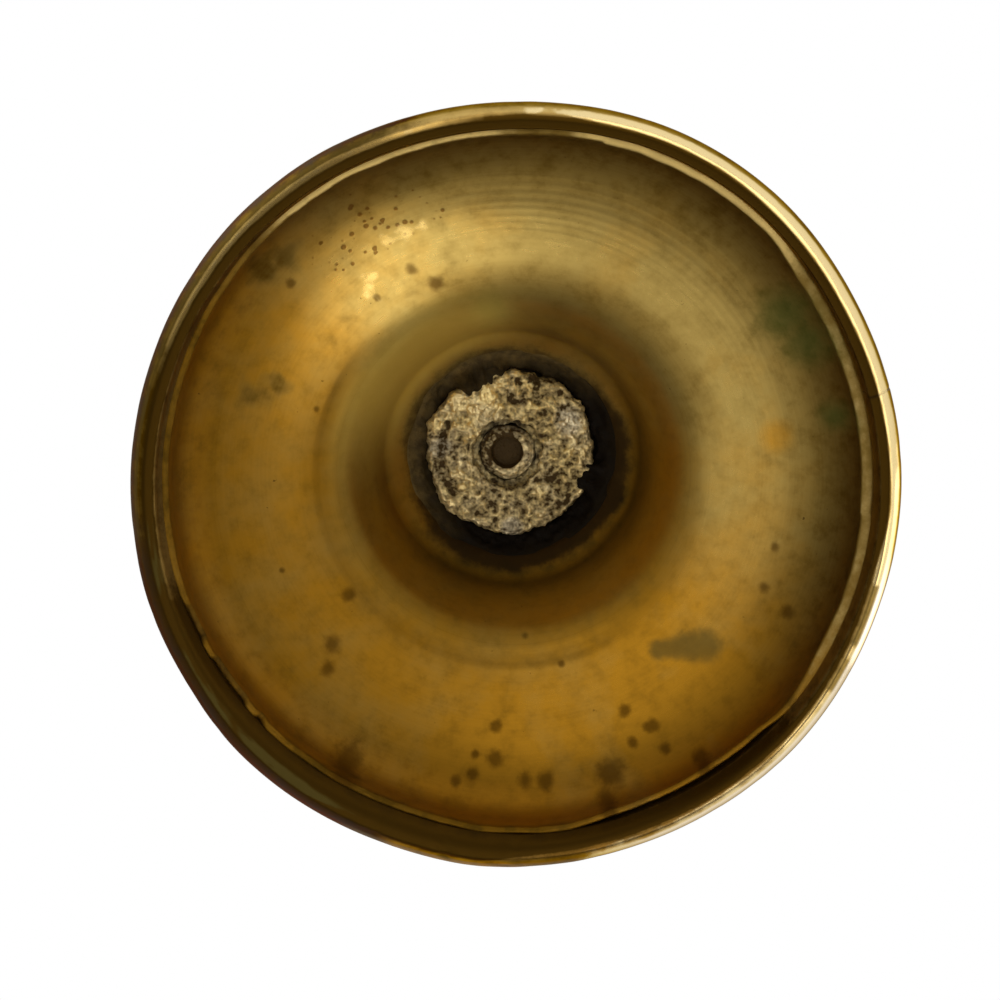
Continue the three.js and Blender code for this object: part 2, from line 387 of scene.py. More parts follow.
def add_node(tree, kind, inputs=(), out=0, **settings):
    """Adds a node with its settings, fills its inputs with values or links, and gives one output.
    A kind can end in a dot and its operation. Inputs come by name or number, or as a list in their order."""
    kind, _, operation = kind.partition(".")
    made = tree.nodes.new("ShaderNode" + kind)
    if operation:
        made.operation = operation
    for key, value in settings.items():
        setattr(made, key, value)
    for key, value in inputs.items() if isinstance(inputs, dict) else enumerate(inputs):
        if isinstance(value, bpy.types.NodeSocket):
            tree.links.new(value, made.inputs[key])
        else:
            made.inputs[key].default_value = value
    return made.outputs[out] if made.outputs else None


def emptied(owner):
    """A material or world with no nodes in it, and what adds nodes to it."""
    owner.use_nodes = True
    owner.node_tree.nodes.clear()
    return owner, partial(add_node, owner.node_tree)


def per_mm(size):
    """Texture scale, in cycles a metre, of a pattern of that size in millimetres."""
    return 1 / (size * MM)


FACTOR, FIRST, SECOND = 0, 6, 7  # sockets of a colour Mix node
COLOURS = {"data_type": "RGBA", "out": 2}
SOFT = {"interpolation_type": "SMOOTHSTEP"}
WEAR = ("tone", "grime", "rub", "verdigris", "stain", "spots", "pits", "dull", "matt", "film", "polish")


def aged_brass(name, olive, warm, dark, bright, roughness, line_width=0.4, line_depth=0.003, edge="#EBD9AE"):
    """Spun or turned brass, tarnished indoors.
    Spinning leaves fine rings round the axis, which streak the gloss. Tarnish lies in soft olive and orange
    clouds and brown specks, and the dull trace adds painted shade to it. A dull pale film is painted in the
    throat on the side the lamp lights (painted light), and dirt fills the hollows, with painted shade in
    some. Handling rubs proud edges bright, the rub trace also carries painted highlights, and one stretch of
    the ring is painted pale as a highlight."""
    made, add = emptied(bpy.data.materials.new(name))
    place = add("TexCoord", out="Object")
    flat = add("VectorMath.MULTIPLY", [place, (1, 1, 0)])
    radius = add("VectorMath.LENGTH", [flat], out="Value")
    level = add("SeparateXYZ", [place], out="Z")
    waver = add("TexNoise", {"Vector": place, "Scale": per_mm(9), "Detail": 1.0})
    wavering = add("Math.MULTIPLY_ADD", [waver, 0.25 * MM, radius])
    ring_place = add("CombineXYZ", [wavering, level])
    lines = add("TexNoise", {"Vector": ring_place, "Scale": per_mm(line_width), "Detail": 2.0})
    clouds, mottle, specks = (
        add("TexNoise", {"Vector": place, "Scale": per_mm(size), "Detail": detail, "Roughness": rough})
        for size, detail, rough in ((16, 6.0, 0.6), (3.2, 5.0, 0.65), (0.9, 3.0, 0.5)))
    traces = {key: add("Attribute", out="Fac", attribute_name=key) for key in WEAR}

    # Olive or orange by the tone of the place, shifted by the clouds
    cloud_shift = add("MapRange", [clouds, 0.3, 0.7, -0.3, 0.3])
    tone = add("Math.ADD", [traces["tone"], cloud_shift], use_clamp=True)
    colour = add("Mix", {FACTOR: tone, FIRST: linear(warm), SECOND: linear(olive)}, **COLOURS)
    # Mottled tarnish and spin lines, and the dull trace, which also carries painted shade
    patchy = add("MapRange", [mottle, 0.38, 0.78, 0.0, 0.3], **SOFT)
    streak = add("MapRange", [lines, 0.3, 0.7, 0.0, 0.07])
    tarnish = add("Math.ADD", [patchy, streak])
    tarnish = add("Math.ADD", [tarnish, traces["dull"]], use_clamp=True)
    # Specks of brown where the clouds are thick
    speck_edge = add("MapRange", [clouds, 0.35, 0.75, 0.80, 0.66])
    speck_over = add("Math.SUBTRACT", [specks, speck_edge])
    speck = add("MapRange", [speck_over, 0.0, 0.05, 0.0, 0.7])
    # Marks whose edges are frayed by the mottle
    fray = add("MapRange", [mottle, 0.25, 0.75, -0.2, 0.2])
    masks = {}
    for key, softness, strength, frayed in (("spots", 0.3, 0.68, 0.9), ("stain", 0.25, 0.6, 0.4),
                                            ("verdigris", 0.45, 0.55, 1.0)):
        ragged = add("Math.MULTIPLY_ADD", [fray, frayed, traces[key]])
        masks[key] = add("MapRange", [ragged, 0.5 - softness, 0.5 + softness, 0.0, strength], **SOFT)
    # Corroded pits, round holes of mixed sizes in a cluster
    scatter = add("TexVoronoi", {"Vector": place, "Scale": per_mm(1.3)}, out="Distance")
    chance = add("SeparateXYZ", [scatter.node.outputs["Color"]], out="X")
    hole_size = add("MapRange", [chance, 0.1, 1.0, 0.0, 0.48])
    hole_size = add("Math.MULTIPLY", [hole_size, traces["pits"]])
    hole_in = add("Math.SUBTRACT", [hole_size, scatter])
    hole_in = add("Math.MULTIPLY_ADD", [fray, 0.2, hole_in])
    pit = add("MapRange", [hole_in, -0.08, 0.12, 0.0, 1.0], **SOFT)
    pit_dark = add("Math.MULTIPLY", [pit, 0.7])
    # A dull pale film painted on the lamp side of the throat (painted light), dirt in the hollows with
    # painted shade, and rubbed edges with painted highlights
    film = add("Math.MULTIPLY", [traces["film"], 0.8])
    dirt = add("Math.ADD", [traces["grime"], fray])
    dirt = add("MapRange", [dirt, 0.1, 0.9, 0.0, 0.92], **SOFT)
    worn = add("Math.ADD", [traces["rub"], fray])
    worn = add("MapRange", [worn, 0.25, 0.75, 0.0, 0.9], **SOFT)
    # Their colours, each laid over the ones before
    # The tarnish, dirt and rub shares carry painted shade and painted highlights too, the film is painted
    # light, and the last, near white, is a painted highlight.
    for share, tint in ((tarnish, dark), (speck, "#3A260C"), (masks["spots"], "#4A2E06"),
                        (masks["stain"], "#6A6030"), (masks["verdigris"], "#465E28"), (pit_dark, "#5A3208"),
                        (film, "#E6C45A"), (dirt, "#20140A"), (worn, bright), (traces["polish"], "#FFF2DC")):
        colour = add("Mix", {FACTOR: share, FIRST: colour, SECOND: linear(tint)}, **COLOURS)

    # Rough and less of a metal where it is crusted or under the painted film, smooth where it is rubbed or
    # painted with a highlight.
    # The relief has spin lines, mottle, sunken pits and raised crust.
    crust = add("Math.ADD", [masks["stain"], masks["verdigris"]], use_clamp=True)
    spot_crust = add("Math.MULTIPLY", [masks["spots"], 0.15])
    for other in (dirt, spot_crust):
        crust = add("Math.MAXIMUM", [crust, other])
    matt = traces["matt"]
    gloss_parts = ((tarnish, 0.12), (worn, -0.1), (matt, 0.27), (film, 0.35), (crust, 0.3))
    metal_parts = ((crust, -0.75), (matt, -0.2), (film, -0.5))
    relief_parts = ((lines, line_depth), (mottle, 0.02), (pit, -0.012), (masks["stain"], 0.03))
    sums = []
    for total, parts, clamped in ((roughness, gloss_parts, True), (1.0, metal_parts, True),
                                  (0.0, relief_parts, False)):
        for part, weight in parts:
            total = add("Math.MULTIPLY_ADD", [part, weight, total], use_clamp=clamped)
        sums.append(total)
    gloss, metal, relief = sums
    normal = add("Bump", {"Height": relief, "Strength": 1.0, "Distance": MM})
    shader = add("BsdfPrincipled", {"Base Color": colour, "Metallic": metal, "Roughness": gloss,
                                    "Normal": normal, "Specular IOR Level": 0.25,
                                    "Specular Tint": linear(edge)})
    add("OutputMaterial", {"Surface": shader})
    return made


def cast_brass(name):
    """Brass as it came out of a sand mould.
    The sand leaves a skin of grains. Their crests are painted pale as glints and the hollows between them
    dark:
    painted highlight and painted shade, over the casting's own grey and yellow patches."""
    made, add = emptied(bpy.data.materials.new(name))
    place = add("TexCoord", out="Object")
    crest, grime, grey = (add("Attribute", out="Fac", attribute_name=key)
                          for key in ("crest", "grime", "grey"))
    patches = add("TexNoise", {"Vector": place, "Scale": per_mm(4), "Detail": 3.0})
    grit = add("TexNoise", {"Vector": place, "Scale": per_mm(0.9), "Detail": 1.5, "Roughness": 0.55})
    greyer = add("MapRange", [patches, 0.35, 0.7, 0.0, 0.45])
    greyer = add("Math.ADD", [greyer, grey], use_clamp=True)
    height = add("MapRange", [grit, 0.25, 0.75, -0.42, 0.42])
    height = add("Math.ADD", [crest, height])
    shown = add("MapRange", [height, 0.03, 0.82, 0.0, 1.0])
    pale = add("Mix", {FACTOR: greyer, FIRST: linear("#FFE6A2"), SECOND: linear("#F2E6C6")}, **COLOURS)
    # Pale on the crests and dark brown in the hollows: painted highlight and painted shade
    colour = add("Mix", {FACTOR: shown, FIRST: linear("#443212"), SECOND: pale}, **COLOURS)
    colour = add("Mix", {FACTOR: grime, FIRST: colour, SECOND: linear("#1E1508")}, **COLOURS)
    metal = add("Math.MULTIPLY_ADD", [shown, 0.75, 0.05])
    gloss = add("Math.MULTIPLY_ADD", [shown, -0.35, 0.75])
    normal = add("Bump", {"Height": grit, "Strength": 1.0, "Distance": 0.4 * MM})
    shader = add("BsdfPrincipled", {"Base Color": colour, "Metallic": metal, "Roughness": gloss,
                                    "Normal": normal, "Specular IOR Level": 0.3})
    add("OutputMaterial", {"Surface": shader})
    return made


def black_pitch(name):
    """Setting pitch, poured hot and left lumpy: black-brown, half dull, with grey dust on its tops."""
    made, add = emptied(bpy.data.materials.new(name))
    place = add("TexCoord", out="Object")
    lumps = add("TexNoise", {"Vector": place, "Scale": per_mm(2.2), "Detail": 6.0, "Roughness": 0.62})
    dusty = add("Attribute", out="Fac", attribute_name="dust")
    dust = add("MapRange", [lumps, 0.34, 0.68, 0.35, 0.8], **SOFT)
    dust = add("Math.MULTIPLY", [dust, dusty])
    colour = add("Mix", {FACTOR: dust, FIRST: linear("#0E0804"), SECOND: linear("#6E5C36")}, **COLOURS)
    gloss = add("MapRange", [lumps, 0.3, 0.7, 0.55, 0.85])
    normal = add("Bump", {"Height": lumps, "Strength": 0.9, "Distance": 0.5 * MM})
    shader = add("BsdfPrincipled", {"Base Color": colour, "Roughness": gloss, "Normal": normal,
                                    "Specular IOR Level": 0.12})
    add("OutputMaterial", {"Surface": shader})
    return made


def soft_solder(name):
    """Tin solder wiped into a corner: dull grey, with a darker skin and fine ripples."""
    made, add = emptied(bpy.data.materials.new(name))
    place = add("TexCoord", out="Object")
    skin = add("TexNoise", {"Vector": place, "Scale": per_mm(2.0), "Detail": 4.0})
    colour = add("Mix", {FACTOR: skin, FIRST: linear("#6E6B64"), SECOND: linear("#9C9A92")}, **COLOURS)
    gloss = add("MapRange", {0: skin, 3: 0.42, 4: 0.62})
    normal = add("Bump", {"Height": skin, "Strength": 0.6, "Distance": 0.2 * MM})
    shader = add("BsdfPrincipled", {"Base Color": colour, "Metallic": 0.9, "Roughness": gloss,
                                    "Normal": normal})
    add("OutputMaterial", {"Surface": shader})
    return made


spun_brass = aged_brass("spun_sheet_brass_tarnished", "#AE9654", "#BC8824", "#644A12", "#DDC27C", 0.27)
bar_brass = aged_brass("drawn_bar_brass_worn", "#C8A862", "#B8893C", "#4A350E", "#F2DAA0", 0.22,
                       line_width=0.3, edge="#A8987A")
turned_brass = aged_brass("turned_brass_handled", "#B2944E", "#B8872E", "#5E4414", "#DCB862", 0.28,
                          line_width=0.5, line_depth=0.008)
plug_brass = cast_brass("sand_cast_brass_rough")
pitch_finish = black_pitch("setting_pitch_poured")
solder_finish = soft_solder("tin_solder_wiped")


# Marks on the underside of the dome, each with its bearing, its distance from the axis and its size
brown_spots = [
    (86, 29.5, 0.6), (76, 35, 0.6), (94, 44.7, 1.0), (94, 50, 1.4), (98, 52.5, 0.9), (101, 54, 0.9),
    (88, 53, 1.2), (84, 53, 1.4), (72, 54, 2.2), (74, 57, 1.5), (62, 50, 0.9), (61, 50, 1.0),
    (65, 46, 1.0), (66, 51, 0.9), (61, 54, 0.9), (56, 57.5, 1.4), (98, 49.5, 0.7), (144, 36, 1.2),
    (137, 43.5, 1.5), (134, 47, 1.2), (158, 43.6, 0.5), (121, 57, 2.6), (26, 53, 1.2), (24, 47.7, 0.9),
    (15, 47, 0.8), (-116, 40, 1.0), (-112, 36, 1.2), (-127, 39, 0.6), (-138, 51, 0.8), (-161, 36, 0.5),
]
grey_stain = [(50.5, 40.2, 1.7), (48.7, 41, 1.8), (47, 41.9, 2), (45.3, 42.8, 2.2), (43.6, 43.9, 2.4),
              (42, 45, 2.6)]
green_tint = [(-32, 54.5, 4), (-26, 55.5, 3.6), (-12, 56, 2.2), (-98, 28.5, 3)]
# Olive patches; the last two lie along the rim, where they paint shade.
olive_patch = [(-162, 47, 3.2), (-158, 43.5, 1.8), (-139, 55.5, 2.6), (-135, 54.5, 2.6)]
# Orange blooms; the last, small one is a painted glint.
orange_bloom = [(46, 53, 6), (60, 52, 6), (95, 52, 8), (-9, 46, 2.5)]
# Rubbed spots that also paint highlights where the lamp's reflection falls
bright_rub = [(-127, 40.8, 2.2), (-125, 42.5, 2), (-114, 46.3, 2.2), (-118, 46.8, 1.8), (-109.5, 46.5, 1.6)]
pit_cluster = [(-120, 50.5, 5), (-127, 50.5, 4), (-113, 49.5, 4), (-107, 48, 2.5)]

# Marks on the face of the plug
grey_skin = [(-30, 11.6, 2.6), (185, 13, 2), (90, 14, 2)]
yellow_skin = [(-50, 8, 3), (-75, 13, 2.5), (5, 9.5, 2), (30, 11, 2)]


# Pieces of the foot

def underside(grid):
    """1 on faces that look down or in towards the axis, and 0 on those that look up or out."""
    up_and_out = from_axis(grid, radii(grid)) + [0, 0, 1]
    return smooth(-(outward(grid) * up_and_out).sum(-1), -0.1, 0.1)


def crease(bearing, radius):
    """Low ridge where the edge of the sleeve shows through on one side, with a hollow outside it."""
    ridge = stretch(bearing, 72, 225, 30) * falling(np.abs(radius - seam_radius + 1.6), 0.2, 2.4)
    valley = stretch(bearing, 70, 200, 25) * falling(np.abs(radius - seam_radius - 2.5), 0.3, 2.2)
    return crease_height * (ridge - valley)


def foot_tone(bearing, radius):
    """Olive on one side and orange on the other. The olive lies further round in the throat."""
    dome = 0.12 + 0.88 * stretch(bearing, -100, -15, 65)
    throat = 0.15 + 0.75 * stretch(bearing, -150, -60, 70)
    share = smooth(radius, 27, 34)
    return share * dome + (1 - share) * throat


def foot_tarnish(bearing, radius):
    """Painted shade on the shaded side of the bend into the throat, and brown tarnish down one side of the
    dome.
    """
    bend = 0.4 * stretch(bearing, -105, -25, 22) * stretch(radius, 32.5, 34.5, 4.5)
    return bend + 0.12 * stretch(bearing, 112, 200, 30)


def bell_marks(grid, under, bearing, radius):
    """Marks that the dome and the sleeve share, and a dull pale film in the mouth of the throat, painted
    thickest on the
    side the lamp lights: painted light."""
    film = (0.15 + 0.85 * stretch(bearing, -148, -118, 46)) * smooth(radius, 19, 23)
    return {"spots": under * marked(grid, brown_spots), "verdigris": under * marked(grid, green_tint),
            "film": under * film * falling(radius, 27, 35)}


def bell_curve():
    """Underside of the foot from the skirt to the ledge in the throat: the skirt, the cubic of the dome as
    far as the bend, and a cubic that turns softly up into the throat."""
    skirt = dome_radius - foot_sheet
    hole = np.array([hole_radius, throat_base])
    shoulder = hole + dome_reach * np.array([math.cos(dome_slope), -math.sin(dome_slope)])
    dome = bezier((skirt, ring_top), (skirt, ring_top + skirt_reach), shoulder, hole, 300)
    dome = dome[dome[:, 0] >= bend_radius]
    along, _ = across(dome)
    throat = bezier(dome[-1], dome[-1] + along[-1] * bend_reach, ledge_spot - throat_wall * throat_reach,
                    ledge_spot - throat_wall * throat_bend)
    return chain((skirt, lip_level + foot_sheet / 2), (skirt, ring_top), dome, throat)


def sheet_wave(grid):
    """Slight unevenness of the spun foot, in millimetres."""
    return noise(grid, 24, 3) * 0.08 + noise(grid, 8, 5) * 0.03


def lean(grid, amount):
    """Moves points towards the viewer under the foot, square to the soft bend."""
    return moved(grid, -0.57 * from_axis(grid, radii(grid)) - [0, 0, 0.82], amount)


def off_centre(grid, amount):
    """The lip of the sheet stands a little out from its true place, and 1 mm towards one side.
    The amount is the share of that which each point takes."""
    aside = math.radians(-75)
    way = lip_spread * from_axis(grid, radii(grid)) + [math.cos(aside), math.sin(aside), 0]
    return moved(grid, way, amount)


def out_of_round(grid):
    """The bent foot isn't a true circle: it stands out on some sides and in on others, and less towards the
    throat."""
    bearing, radius, _ = places_of(grid)
    swell = stretches_of(bearing, (0.85, -64, -55, 30), (0.35, 90, 94, 22), (0.7, 46, 80, 30),
                         (0.2, -135, -120, 12), (-0.28, -184, -162, 14)) - 0.3
    return moved(grid, from_axis(grid, radius), swell * smooth(radius, 40, 57))


def foot_dome():
    """Spun dome: the bell curve as far as its seam with the sleeve.
    The cut edge of the skirt wavers, is stepped in two places, is broken away in one, and is thickened by a
    bevel."""
    curve = bell_curve()
    path = evenly(curve[curve[:, 0] >= seam_radius], 0.30)
    grid = turned(anticlockwise(sheet_outline(path, foot_sheet)), columns=620)
    bearing, radius, level = places_of(grid)
    ripple = 0.008 * stretch(radius, 40, 49, 3) * np.sin(2 * np.pi * (radius - 43) / 7)
    tooled = 0.007 * stretch(bearing, -88, -35, 20) * stretch(radius, 42, 51, 3)
    tool_lines = tooled * np.sin(2 * np.pi * radius / 1.3)
    wave = sheet_wave(grid) + ripple + tool_lines

    # The cut edge
    near_edge = falling(level, lip_level + 0.3, lip_level + 2.6)
    broken = stretch(bearing, 138, 159, 2) * (1 - stretches_of(bearing, (1, 151, 153.5, 1), (1, 139, 141, 1)))
    from_middle = radius - dome_radius + foot_sheet / 2
    inner_face = falling(from_middle, -0.3, 0.5)
    drawn_in = stretches_of(bearing, (0.9, 49, 72, 10), (0.3, -76, 4, 0.8), (0.7 * inner_face, -36, 28, 10),
                            (-0.5 * (1 - inner_face), -190, 32, 10))
    ragged = noise(grid * [1, 1, 0], 6, 11) * 0.22 + noise(grid * [1, 1, 0], 1.6, 13) * 0.10
    grid = lean(moved(grid, outward(grid), wave), crease(bearing, radius))
    grid = moved(grid, from_axis(grid, radii(grid)), -near_edge * (drawn_in + ragged * 0.6))
    grid[..., 2] += near_edge * (1.5 * broken + ragged * 0.5)
    bevel = lip_level + 0.2 - 0.23 * from_middle + 0.5 * from_middle ** 2
    flat = near_edge * (0.45 + 0.55 * stretch(bearing, -78, -30, 10)) * (1 - broken)
    grid[..., 2] += flat * np.maximum(bevel - grid[..., 2], 0)
    grid = off_centre(grid, smooth(radius, 48, 57))

    # Wear, and painted light: shade near the skirt, at the bend and along the rim, highlights on the lip and
    # in the lamp's reflection
    under = underside(grid)
    shady = stretch(bearing, -105, 25, 30)
    # Olive patches, and painted shade along the rim at the last two marks.
    olive = smooth(marked(grid, olive_patch) + 0.3 * rough_noise(grid, 3, 15, 3), 0.3, 0.9)
    # Warmer orange blooms, one of them a small painted glint.
    orange = smooth(marked(grid, orange_bloom), 0.15, 0.8)
    tone = foot_tone(bearing, radius) + 0.2 * shady * smooth(radius, 50, 57) - 0.6 * orange + 0.4 * olive
    # The skirt wall is tarnished and painted darker towards the rim, most on the shady side: painted shade.
    edge_tarnish = 0.32 + 0.3 * shady - 0.18 * stretch(bearing, 40, 160, 25)
    edge_tarnish = edge_tarnish * smooth(radius, 49.5 - 5.5 * shady, 55)
    # The lip is painted lighter where it faces the light and darker on the other side: wear with a painted
    # highlight, and painted shade.
    lip = falling(level, lip_level + 0.3, lip_level + 1.1 + 0.9 * stretch(bearing, -75, -32, 6))
    lip = lip * (1 - 0.6 * smooth(np.abs(from_middle), 0.15, 0.6))
    lip_shine = 0.1 + stretches_of(bearing, (0.9, -74, -48, 12), (0.6, -126, -98, 14), (0.3, -38, 30, 8))
    lip_brown = stretches_of(bearing, (0.3, 45, 235, 15), (0.25, 85, 125, 12))
    # Rubbed spots, which also paint the highlight where the lamp's reflection falls.
    rubbed = 0.44 * smooth(marked(grid, bright_rub) + 0.25 * rough_noise(grid, 1.2, 27, 2), 0.1, 1.0)
    dull = edge_tarnish * (0.4 + 0.6 * under) + (foot_tarnish(bearing, radius) + 0.5 * olive) * under
    add_piece("foot_dome_spun", "foot_dome", "aged_brass", out_of_round(grid), spun_brass,
              **bell_marks(grid, under, bearing, radius), tone=under * tone + (1 - under) * 0.5,
              stain=under * marked(grid, grey_stain), grime=0.5 * near_edge * (0.25 + 0.75 * broken),
              pits=under * smooth(marked(grid, pit_cluster), 0.25, 0.6),
              rub=np.maximum(lip * (1 - broken) * lip_shine, under * rubbed),
              dull=dull + near_edge * lip_brown + 0.15 * (1 - under),
              matt=0.7 * under * smooth(radius, 51.5, 54.5))


def foot_throat():
    """Throat sleeve: a flange let into the dome, the rest of the bell curve, a ledge and a neck.
    On one side the edge of the flange stands up as a low ridge."""
    curve = bell_curve()
    neck = np.array([neck_radius, neck_level])
    half_way = (ledge_spot + neck) / 2
    path = chain(
        curve[curve[:, 0] <= seam_radius + flange_width],
        bezier(ledge_spot - throat_wall * throat_bend, ledge_spot, ledge_spot, half_way),
        bezier(half_way, neck, neck, neck + [0, np.linalg.norm(neck - half_way)]),
        (neck_radius, foot_top - foot_sheet), (rod_bore, foot_top - foot_sheet),
    )
    grid = turned(anticlockwise(sheet_outline(evenly(path, 0.4), sleeve_sheet, 1.0)), columns=360)
    bearing, radius, _ = places_of(grid)
    grid = moved(grid, outward(grid), sheet_wave(grid))
    tuck = 0.05 * np.maximum(radius - seam_radius - 0.2, 0) ** 2
    grid = lean(grid, crease(bearing, radius) - tuck)
    under = underside(grid)
    # Painted shade: the throat is darker on the side away from the lamp and on its ledge there, and the dirt
    # at the neck reaches further and darker on that side.
    shaded = stretch(bearing, 0, 110, 60)
    from_neck = radius - neck_radius + 0.5 * noise(grid, 3, 23) - 1.5 * shaded
    gloom = shaded * (0.45 * falling(radius, 22, 27) + 0.35 * stretch(radius, 21.8, 23.0, 0.8))
    add_piece("foot_throat_sleeve", "foot_throat", "aged_brass", grid, spun_brass,
              **bell_marks(grid, under, bearing, radius), tone=foot_tone(bearing, radius),
              grime=(0.62 + 0.33 * shaded) * falling(from_neck, 0.2, 3.4) * under,
              dull=under * (gloom + foot_tarnish(bearing, radius)),
              matt=0.3 * under * falling(radius, 27.5, 32))


def foot_ring():
    """Bar bent into a ring: a hollow-ground inner side, a narrow land and a full outer side, with small dents
    and chips, one stretch that stands out further, and a butt joint."""
    inner = bezier((ring_bore, bore_base), (ring_bore + 0.6, bore_base - 1), (land_start - 1, table_level),
                   (land_start, table_level), 20)
    outer = bezier((land_end, table_level), (land_end + 0.9, table_level + 0.6), (foot_radius, 2.2),
                   (foot_radius, side_base), 24)
    top = bezier((foot_radius, ring_top - ring_top_round), (foot_radius, ring_top - 0.5),
                 (foot_radius - 0.5, ring_top), (foot_radius - ring_top_round, ring_top), 8)
    outline = evenly(chain(inner, outer, top, (ring_bore, ring_top), inner[:1]), 0.3)
    grid = turned(anticlockwise(outline), columns=900)
    bearing, radius, level = places_of(grid)
    joint = stretch(bearing, -16.1, -16.0, 0.2)
    dents = noise(grid * [1, 1, 0.4], 11, 31) * 0.05 + np.minimum(noise(grid, 3.4, 33), 0) * 0.05
    chips = stretches_of(bearing, (1, 112, 114, 0.8), (1, 100, 102.5, 0.8), (1, 89, 94, 0.8))
    chips = chips * falling(level, 0.6, 2.4) * np.abs(noise(grid, 2, 35))
    grid = moved(grid, outward(grid), dents - 0.08 * joint - 0.25 * chips)
    grid[..., 2] = np.maximum(grid[..., 2], table_level)
    grid = off_centre(grid, falling(radius, ring_bore, land_start))
    thick = 0.65 * stretch(bearing, 100, 135, 18) * smooth(radius, ring_bore, ring_bore + 2.5)
    grid = moved(grid, from_axis(grid, radius), thick)

    # Rubbed bright in a band outside the land, less where blotches lie on it. The band is kept to the side
    # the light comes from, so it is also a painted highlight, as are the thin line on the other side and the
    # pale stretch.
    patches = rough_noise(grid * [1, 1, 0.6], 7, 41)
    fine = rough_noise(grid * [1, 1, 0.6], 2.5, 45)
    from_edge = foot_radius - radius
    side = smooth(level, 1.9, 3.0)
    blotch = np.maximum(stretch(bearing, 14.5, 23.8, 1.2), 0.9 * stretch(bearing, 27, 31.8, 1.2))
    blotch = blotch * smooth(from_edge, 1.2, 1.9)
    kept = stretch(bearing, -84, 74, 12) * (1 - 0.6 * blotch)
    kept = kept * (1 - 0.45 * stretch(bearing, -100, -86, 6) * smooth(fine, -0.3, 0.3))
    thin = stretch(bearing, -148, -106, 14) * stretch(from_edge, 1.9, 2.35, 0.4)
    reach = 1.7 + stretches_of(bearing, (0.35, -45, -5, 15), (1.2, 12, 85, 12), (-0.4, -98, -84, 8))
    band = falling(from_edge, reach, reach + 0.9) * (1 - side)
    polished = stretch(bearing, 20, 85, 10)
    graded = 1 - 0.55 * (1 - polished) * smooth(1.6 - from_edge, 0.3, 1.2)
    graded = graded - polished * (0.35 + 0.2 * stretch(bearing, 62, 85, 10)) * smooth(from_edge, 0.8, 2.6)
    rub = np.maximum(band * kept * (0.85 * graded + 0.1 * patches), 0.3 * thin)

    # Brown elsewhere: tarnish, and also painted shade off the highlight and on the side away from the light,
    # with patches of crust and dirt; the dirt in the gap at the bore paints shade as well.
    tarnished = stretch(bearing, 114, 172, 12)
    brown = np.maximum.reduce([
        (1 - band) * (1 - 0.5 * side * stretch(bearing, -98, 66, 14)),
        tarnished,
        stretches_of(bearing, (0.9, -184, -114, 16), (0.6, 82, 118, 10)),
        band * np.maximum(0.4 * blotch, 0.5 * (1 - graded)),
        0.6 * stretch(bearing, 50, 85, 12) * stretch(from_edge, 2.5, 3.3, 0.35),
    ])
    brown = brown * (1 - thin) * (1 - 0.5 * smooth(from_edge, 4.0, 5.0) * stretch(bearing, -190, 35, 12))
    along = np.stack([bearing * 0.5, from_edge * 3, 0 * level], -1)
    flakes = 0.85 * stretch(bearing, 122, 172, 10) * stretch(from_edge, 3.4, 4.0, 1.0)
    skin = stretches_of(bearing, (0.45, -184, -112, 16), (0.5, 82, 114, 10))
    crust = np.maximum.reduce([
        flakes * smooth(rough_noise(along, 4, 43), -0.7, 0.7),
        0.5 * blotch * band,
        skin * falling(from_edge, 1.5, 2.1),
    ])
    low = falling(level, 3, 5)
    edge_dirt = 0.36 * stretch(bearing, -184, -114, 16) * falling(from_edge, 0.6, 1.6) * low
    side_dirt = 0.34 * stretch(bearing, 15, 85, 12) * falling(from_edge, 0.1, 0.4)
    dirt = np.maximum.reduce([
        0.7 * joint,
        0.3 * smooth(from_edge, 4.6, 5.8) * stretch(bearing, 40, 200, 15),
        0.35 * tarnished * stretch(from_edge, 1.6, 2.6, 0.8) * low,
        edge_dirt + side_dirt * falling(level, 5, 6),
    ])
    add_piece("foot_ring_bar", "foot_ring", "worn_brass", out_of_round(grid), bar_brass,
              tone=0.2 + 0.8 * stretch(bearing, -185, 30, 30), grime=dirt, rub=rub, stain=crust,
              polish=0.75 * stretch(bearing, 18, 66, 12) * stretch(from_edge, 0.8, 1.6, 0.5),
              dull=brown * (1 - 0.5 * smooth(level, 3.5, 6)),
              matt=np.maximum(0.6 * brown * smooth(from_edge, 2.0, 3.2),
                              0.4 * tarnished * falling(level, 6, 8)))


